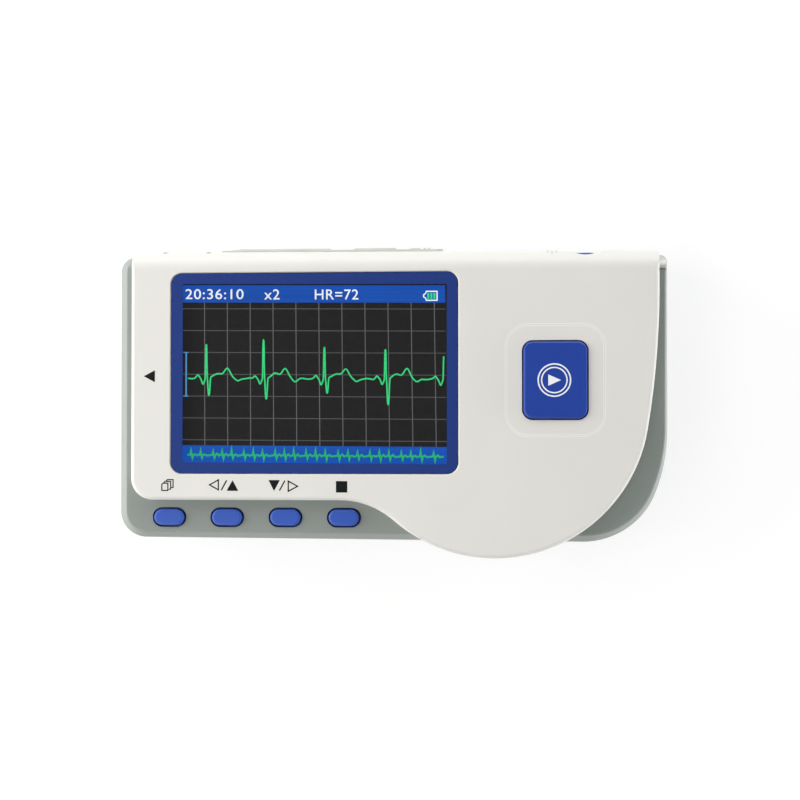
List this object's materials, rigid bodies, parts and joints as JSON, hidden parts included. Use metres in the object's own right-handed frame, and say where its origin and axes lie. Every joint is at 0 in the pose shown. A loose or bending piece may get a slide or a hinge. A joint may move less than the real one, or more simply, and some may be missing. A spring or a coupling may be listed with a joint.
{
  "type": "ecg home monitor",
  "caption": "Landscape pocket ECG recorder with a framed display, oval control keys, a large measuring key, a sliding battery door and a hinged port cover.",
  "frame": {"origin": "on the rest plane under the middle of the outline, which is the back cover's flat face", "axes": "+X along the length to the right of the display, +Y across towards the top edge with the ports, +Z out of the display"},
  "size_m": [0.1254, 0.0704, 0.0217],
  "materials": {
    "white_abs": "satin moulded ABS",
    "grey_abs": "satin moulded ABS",
    "blue_key_abs": "satin moulded ABS",
    "blue_measure_abs": "satin moulded ABS",
    "stainless_steel": "fine brushed stainless",
    "nickel_steel": "nickel-plated sheet",
    "black_steel": "black oxide",
    "soft_tpe": "matt soft elastomer",
    "grey_silicone": "matt silicone",
    "black_foam": "closed-cell foam",
    "clear_acrylic": "clear polished acrylic",
    "clear_guide": "clear light guide",
    "blue_print": "printed film",
    "lcd_glass": "polished display glass",
    "white_polycarbonate": "moulded white",
    "polyimide_film": "amber film",
    "ivory_plastic": "moulded",
    "solder_mask": "green solder mask",
    "black_plastic": "moulded epoxy",
    "chip_ceramic": "fired ceramic",
    "ferrite": "sintered",
    "gold_contact": "gold flash",
    "cell_wrap": "shrink sleeve"
  },
  "bodies": {
    "recorder": {"rear_cover": "grey_abs", "front_frame": "grey_abs", "front_cover": "white_abs", "port_cover_root": "soft_tpe", "display_window": "clear_acrylic", "window_border": "blue_print", "display_gasket": "black_foam", "lcd_bezel": "nickel_steel", "lcd_panel": "lcd_glass", "lcd_backlight": "white_polycarbonate", "lcd_light_guide": "clear_guide", "lcd_flex": "polyimide_film", "flex_connector": "ivory_plastic", "key_strip_mat": "grey_silicone", "measure_key_mat": "grey_silicone", "dome_contacts": "nickel_steel", "main_board": "solder_mask", "processor": "black_plastic", "memory_chip": "black_plastic", "ecg_amplifier": "black_plastic", "regulator": "black_plastic", "crystal": "nickel_steel", "small_passives": "chip_ceramic", "inductor": "ferrite", "clock_cell": "nickel_steel", "buzzer": "black_plastic", "shield_can": "nickel_steel", "power_switch": "black_plastic", "lead_socket_shell": "nickel_steel", "lead_socket_tongue": "black_plastic", "lead_socket_contacts": "gold_contact", "usb_socket_shell": "nickel_steel", "usb_socket_tongue": "black_plastic", "usb_socket_contacts": "gold_contact", "left_electrode": "stainless_steel", "index_electrode": "stainless_steel", "middle_electrode": "stainless_steel", "electrode_springs": "gold_contact", "battery_cells": "cell_wrap", "battery_bridge": "nickel_steel", "battery_plus_contact": "nickel_steel", "battery_minus_contact": "nickel_steel", "case_screws": "black_steel", "board_screws": "nickel_steel"},
    "menu_key": {"menu_key": "blue_key_abs"},
    "left_up_key": {"left_up_key": "blue_key_abs"},
    "right_down_key": {"right_down_key": "blue_key_abs"},
    "stop_key": {"stop_key": "blue_key_abs"},
    "measure_key": {"measure_key": "blue_measure_abs"},
    "power_key": {"power_key": "blue_key_abs"},
    "port_cover": {"port_cover": "soft_tpe"},
    "battery_door": {"battery_door": "grey_abs"}
  },
  "joints": [
    {"name": "menu_key_press", "type": "slide", "parent": "recorder", "child": "menu_key", "axis": [0, 0, -1], "range_m": [0, 0.0007], "stiffness_N_per_m": 1500, "springref_m": -0.0002},
    {"name": "left_up_key_press", "type": "slide", "parent": "recorder", "child": "left_up_key", "axis": [0, 0, -1], "range_m": [0, 0.0007], "stiffness_N_per_m": 1500, "springref_m": -0.0002},
    {"name": "right_down_key_press", "type": "slide", "parent": "recorder", "child": "right_down_key", "axis": [0, 0, -1], "range_m": [0, 0.0007], "stiffness_N_per_m": 1500, "springref_m": -0.0002},
    {"name": "stop_key_press", "type": "slide", "parent": "recorder", "child": "stop_key", "axis": [0, 0, -1], "range_m": [0, 0.0007], "stiffness_N_per_m": 1500, "springref_m": -0.0002},
    {"name": "measure_key_press", "type": "slide", "parent": "recorder", "child": "measure_key", "axis": [0, 0, -1], "range_m": [0, 0.0008], "stiffness_N_per_m": 1800, "springref_m": -0.0002},
    {"name": "power_key_press", "type": "slide", "parent": "recorder", "child": "power_key", "axis": [0, -1, 0], "range_m": [0, 0.0005], "stiffness_N_per_m": 1500, "springref_m": -0.0002},
    {"name": "port_cover_swing", "type": "hinge", "parent": "recorder", "child": "port_cover", "pos_m": [-0.0384, 0.03435, 0.0125], "axis": [0, 0, 1], "range_deg": [0, 100]},
    {"name": "battery_door_slide", "type": "slide", "parent": "recorder", "child": "battery_door", "axis": [1, 0, 0], "range_m": [0, 0.056]}
  ]
}
